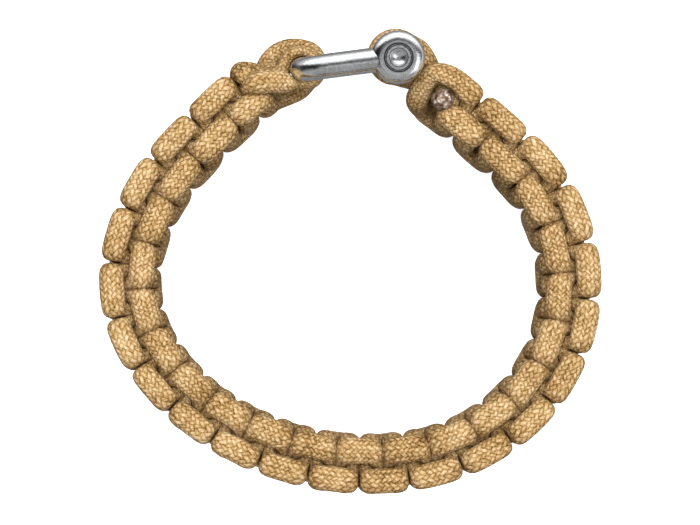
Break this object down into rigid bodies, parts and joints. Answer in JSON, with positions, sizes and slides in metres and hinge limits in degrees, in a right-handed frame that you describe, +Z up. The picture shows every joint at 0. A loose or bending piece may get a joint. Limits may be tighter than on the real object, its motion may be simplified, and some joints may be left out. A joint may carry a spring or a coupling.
{
  "type": "paracord bracelet",
  "caption": "Bracelet of woven round cord in flat square knots, closed by a small bow shackle with a screw pin, lying on its side.",
  "frame": {"origin": "bottom centre of the bracelet's bounding box, on the surface that it lies on", "axes": "+X across the loop, its longest extent; +Y from the middle of the loop towards the shackle; +Z up through the wrist opening"},
  "size_m": [0.0886, 0.0833, 0.0247],
  "materials": {
    "cord": "braided nylon sheath",
    "steel": "polished"
  },
  "bodies": {
    "root": {"outer_strand": "cord", "inner_strand": "cord", "core_cord": "cord", "shackle_bow": "steel", "shackle_pin": "steel"}
  },
  "joints": []
}
